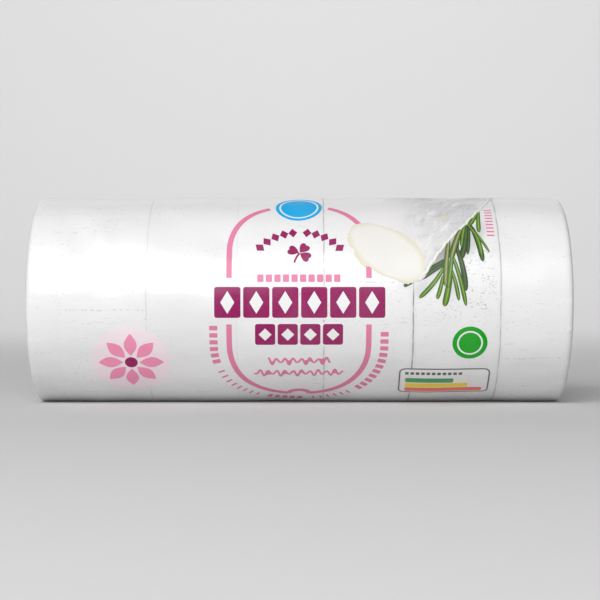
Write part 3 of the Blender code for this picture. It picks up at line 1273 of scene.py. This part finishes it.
def rind_colour(tree, sheet):
    """White, with soft grey folds and a few cream patches away from the cut face."""
    leaning = turn_place(tree, sheet, math.radians(RIND_FOLD_TURN))
    broad = noise(tree, leaning, 120, stretch=(0.6, 1, 1))
    folds = noise(tree, leaning, 420, stretch=(0.45, 1, 1), detail=4.0, roughness=0.6)
    creased = noise(tree, leaning, 260, stretch=(0.5, 1, 1), detail=3.0, roughness=0.6)
    patches = noise(tree, leaning, 230, stretch=(0.5, 1, 1), detail=3.0)
    away_from_face = ramp(tree, parts_of(tree, sheet)["X"], 0.018, 0.030)
    # Each tone over the last: the value and the ramp that place it, and its colour.
    tones = (
        (broad, (0.36, 0.62, 0.15, 1.0), RIND_SHADE),
        (folds, (0.52, 0.70, 0.0, 0.7), RIND_FOLD),
        (folds, (0.46, 0.36, 0.0, 0.8), RIND_LIP),
        (off_from(tree, creased, 0.5), (0.0, 0.02, 0.5, 0.0), RIND_FOLD),
        (patches, (0.62, 0.74, 0.0, 0.7), RIND_CREAM),
    )
    colour = RIND_WHITE
    for value, change, tone in tones:
        share = times(tree, ramp(tree, value, *change), away_from_face)
        colour = mix_colours(tree, share, colour, tone)
    return colour


def face_colour(tree, sheet):
    """Cream, darker towards the outline of the cut face."""
    x, y = (part * MILLIMETRE for part in FACE_MIDDLE)
    sizes = (FACE_HALF_LENGTH * MILLIMETRE, FACE_HALF_WIDTH * MILLIMETRE, 1)
    out = out_from(tree, sheet, (x, y, 0), math.radians(-FACE_TURN), sizes)
    out = stray(tree, out, noise(tree, sheet, 420, detail=3.0), 0.16)
    return mix_colours(tree, ramp(tree, out, 0.82, 1.04), FACE_CREAM, FACE_EDGE)


rind_ink = printed_material("rind_ink", rind_colour, PRINT_GLOSS)
roll_on("printed_rind", [lay_shape(smooth_outline(RIND))], CHEESE_LAYER, rind_ink)
for ink_name, colour in (("lip", RIND_LIP), ("shade", RIND_GREY)):
    picked = [(inward, width) for inward, width, ink in RIND_LINES if ink == ink_name]
    layers = [CHEESE_LAYER + RIND_LINE_LAYER - RIND_LINE_DROP * inward for inward, _ in picked]
    line_ink = ink_material("rind_ink_" + ink_name, colour)
    lines = [rind_line(*line) for line in picked]
    roll_on("printed_rind_" + ink_name, lines, layers, line_ink)
face_ink = printed_material("cut_face_ink", face_colour, PRINT_GLOSS)
roll_on("printed_cut_face", [lay_shape(face_outline())], CHEESE_LAYER + 1, face_ink)

# The green disc, the panel of bars and the row of dashes at the right
#
# All printed on the film: a plain green disc with a white ring, a white panel with a grey
# outline and three bars in green, yellow and red, and a short row of pink dashes by the herb.

GREEN = (0.0, 0.33, 0.006, 1)
GREEN_DISC = (35.5, -9.2, 3.65)
GREEN_RING_RADIUS = 2.7
GREEN_RING_LINE = 0.35
PANEL = (30.6, -19.7, 19.2, 8.4)
PANEL_CORNER = 1.3
PANEL_LINE = 0.3
PANEL_GREY = (0.13, 0.13, 0.135, 1)
BAR_LEFT = 22.4
BAR_HEIGHT = 1.45
PANEL_BAR_CORNER = 0.3
# The bars: a name, a colour, a length and a place.
BARS = (
    ("green", (0.078, 0.32, 0.14, 1), 10.2, -19.2),
    ("yellow", (0.85, 0.64, 0.053, 1), 13.3, -20.9),
    ("red", (0.85, 0.18, 0.13, 1), 16.4, -22.6),
)
HEADER_ROW = (11, 28.3, -17.0, 0.75, 0.75, 0.38)
HEADER_CORNER = 0.1
# The dashes beside the herb: how many, their place along the log, their lowest and highest
# places round it, and a dash's size.
SIDE_DASHES = (9, 40.15, 14.6, 23.0, 1.6, 0.42)

x, y, radius = GREEN_DISC
green_ink = ink_material("green_ink", GREEN)
roll_on("green_disc", [lay_oval(x, y, radius, radius)], 1, green_ink)
ring = hollow(lay_oval(x, y, GREEN_RING_RADIUS, GREEN_RING_RADIUS), GREEN_RING_LINE)
roll_on("green_disc_ring", [ring], 2, white_ink)
grey_ink = ink_material("dark_grey_ink", PANEL_GREY)
roll_on("bar_panel", [lay_tile(*PANEL, PANEL_CORNER)], 1, white_ink)
panel_line = hollow(lay_tile(*PANEL, PANEL_CORNER), PANEL_LINE)
roll_on("bar_panel_line", [panel_line], 2, grey_ink)
roll_on("bar_panel_header", tile_row(HEADER_ROW, 0, HEADER_CORNER), 2, grey_ink)
for name, colour, length, height in BARS:
    bar = lay_tile(BAR_LEFT + length / 2, height, length, BAR_HEIGHT, PANEL_BAR_CORNER)
    ink = ink_material(name + "_bar_ink", colour)
    roll_on(name + "_bar", [bar], 2, ink)
count, middle, low_end, high_end, length, height = SIDE_DASHES
dash_places = [(middle, place, 0) for place in np.linspace(low_end, high_end, count)]
side_dashes = place_copies(lay_tile(0, 0, length, height, BAR_CORNER), dash_places)
roll_on("side_dashes", side_dashes, 1, pink_ink)

# The panel on the back
#
# A printed pink outline round rows of thin grey dashes, and a white block of upright grey
# stripes, as a pack carries its plain facts on the side that is turned away.

BACK_PANEL = (-14.0, 60.0, 48.0, 24.0)
BACK_PANEL_CORNER = 2.0
BACK_PANEL_LINE = 0.5
BACK_PANEL_MARGIN = 2.4
DASH_ROWS = 9
DASH_ROW_STEP = 2.2
DASH_HEIGHT = 0.55
DASH_LENGTHS = (1.6, 2.4, 3.4, 4.6)
DASH_GAP = 0.7
# How far the rows of dashes stop short of the right side, in threes: two full and one short.
DASH_ROW_SHORT = ((0, 6), (0, 6), (12, 24))
STRIPE_BLOCK = (23.5, 61.5, 17.0, 12.0)
STRIPE_BLOCK_CORNER = 0.8
STRIPE_WIDTHS = (0.25, 0.25, 0.5, 0.75)
STRIPE_HEIGHT = 9.5
STRIPE_CORNER = 0.02
# The stripes begin and end this far inside the block.
STRIPE_MARGINS = (1.5, 1.8)


def dash_row(left, right, height, chance):
    """Thin dashes of mixed lengths from one side of the panel to a ragged other side."""
    dashes = []
    while left < right:
        length = min(chance.choice(DASH_LENGTHS), right - left)
        dashes.append(lay_tile(left + length / 2, height, length, DASH_HEIGHT, BAR_CORNER))
        left += length + DASH_GAP
    return dashes


def stripes(chance):
    """Upright stripes of mixed widths, side by side."""
    x, y, length, _ = STRIPE_BLOCK
    place = x - length / 2 + STRIPE_MARGINS[0]
    made = []
    while place < x + length / 2 - STRIPE_MARGINS[1]:
        width = chance.choice(STRIPE_WIDTHS)
        made.append(lay_tile(place + width / 2, y, width, STRIPE_HEIGHT, STRIPE_CORNER))
        place += width + chance.choice(STRIPE_WIDTHS)
    return made


x, y, length, _ = BACK_PANEL
chance = random.Random(7)
panel_line = hollow(lay_tile(*BACK_PANEL, BACK_PANEL_CORNER), BACK_PANEL_LINE)
roll_on("back_panel_line", [panel_line], 1, pink_ink)
left = x - length / 2 + BACK_PANEL_MARGIN
right = x + length / 2 - BACK_PANEL_MARGIN
dashes = []
for row in range(DASH_ROWS):
    row_height = y + ((DASH_ROWS - 1) / 2 - row) * DASH_ROW_STEP
    short = chance.uniform(*DASH_ROW_SHORT[row % 3])
    dashes += dash_row(left, right - short, row_height, chance)
roll_on("back_panel_dashes", dashes, 1, grey_ink)
block = lay_tile(*STRIPE_BLOCK, STRIPE_BLOCK_CORNER)
roll_on("stripe_block", [block], 1, white_ink)
roll_on("stripes", stripes(chance), 2, grey_ink)

# The floor and the backdrop
#
# A seamless sweep of white paper, flat under the log and curved up behind it, as a product is
# photographed on. It is not part of the object.

FLOOR_SIZE = 3.0
BACKDROP_HEIGHT = 1.6
SWEEP_RADIUS = 0.5
SWEEP_SEGMENTS = 24
PAPER_WHITE = (0.64, 0.64, 0.64, 1)


def at_far_side(corners):
    """Whether an edge lies on the floor, on its far side."""
    return np.all((corners[:, 1] > FLOOR_SIZE / 2 - SAME_POINT) & (corners[:, 2] < SAME_POINT))


deselect_all()
bpy.ops.mesh.primitive_plane_add(size=FLOOR_SIZE)
floor = bpy.context.object
floor.name = "floor"
bpy.ops.object.mode_set(mode="EDIT")
pick("EDGE", at_far_side)
bpy.ops.mesh.extrude_region_move(TRANSFORM_OT_translate={"value": (0, 0, BACKDROP_HEIGHT)})
pick("EDGE", at_far_side)
bpy.ops.mesh.bevel(offset=SWEEP_RADIUS, segments=SWEEP_SEGMENTS, affect="EDGES")
bpy.ops.object.mode_set(mode="OBJECT")
bpy.ops.object.shade_smooth()
paper = bpy.data.materials.new("white_paper")
paper.use_nodes = True
paper_shader = paper.node_tree.nodes["Principled BSDF"]
paper_shader.inputs["Base Color"].default_value = PAPER_WHITE
paper_shader.inputs["Roughness"].default_value = 0.9
floor.data.materials.append(paper)

# The studio light
#
# A wide soft box stands in front, above the camera and to its left, so that its reflection in
# the film fades to the right. Another lights the backdrop. They are not part of the object.

WORLD_STRENGTH = 0.19
LOG_MIDDLE = (0, 0, AXIS_HEIGHT)


def add_soft_box(name, size, place, aim, power, shines=True):
    """A soft light of a width and height, at a place, turned to a point."""
    deselect_all()
    bpy.ops.object.light_add(type="AREA", location=place)
    light = bpy.context.object
    light.name = name
    light.data.shape = "RECTANGLE"
    light.data.size, light.data.size_y = size
    light.data.energy = power
    light.visible_glossy = shines
    light.rotation_euler = (Vector(aim) - Vector(place)).to_track_quat("-Z", "Y").to_euler()


world = bpy.data.worlds.new("studio")
bpy.context.scene.world = world
world.use_nodes = True
background = world.node_tree.nodes["Background"]
background.inputs["Color"].default_value = (1, 1, 1, 1)
background.inputs["Strength"].default_value = WORLD_STRENGTH
add_soft_box("front_box", size=(0.62, 0.56), place=(-0.20, -0.68, 0.45), aim=LOG_MIDDLE, power=7.2)
add_soft_box(
    "backdrop_box", size=(2.0, 0.6), place=(0, 0.5, 1.1), aim=(0, 1.4, 0.7), power=18.0, shines=False
)

# The camera
#
# A long lens straight in front of the log, level with its axis, so that the log is seen from
# its printed side. It is not part of the object.

CAMERA_PLACE = (0.0001, -0.341, AXIS_HEIGHT)
# The lens and the sensor are measured in millimetres.
FOCAL_LENGTH = 92.3
SENSOR_WIDTH = 36
# Nothing nearer than this is seen.
NEAREST_SEEN = 0.01

deselect_all()
bpy.ops.object.camera_add(location=CAMERA_PLACE, rotation=(math.pi / 2, 0, 0))
camera = bpy.context.object
camera.name = "camera"
camera.data.lens = FOCAL_LENGTH
camera.data.sensor_width = SENSOR_WIDTH
camera.data.clip_start = NEAREST_SEEN
bpy.context.scene.camera = camera
bpy.context.scene.view_settings.view_transform = "Standard"
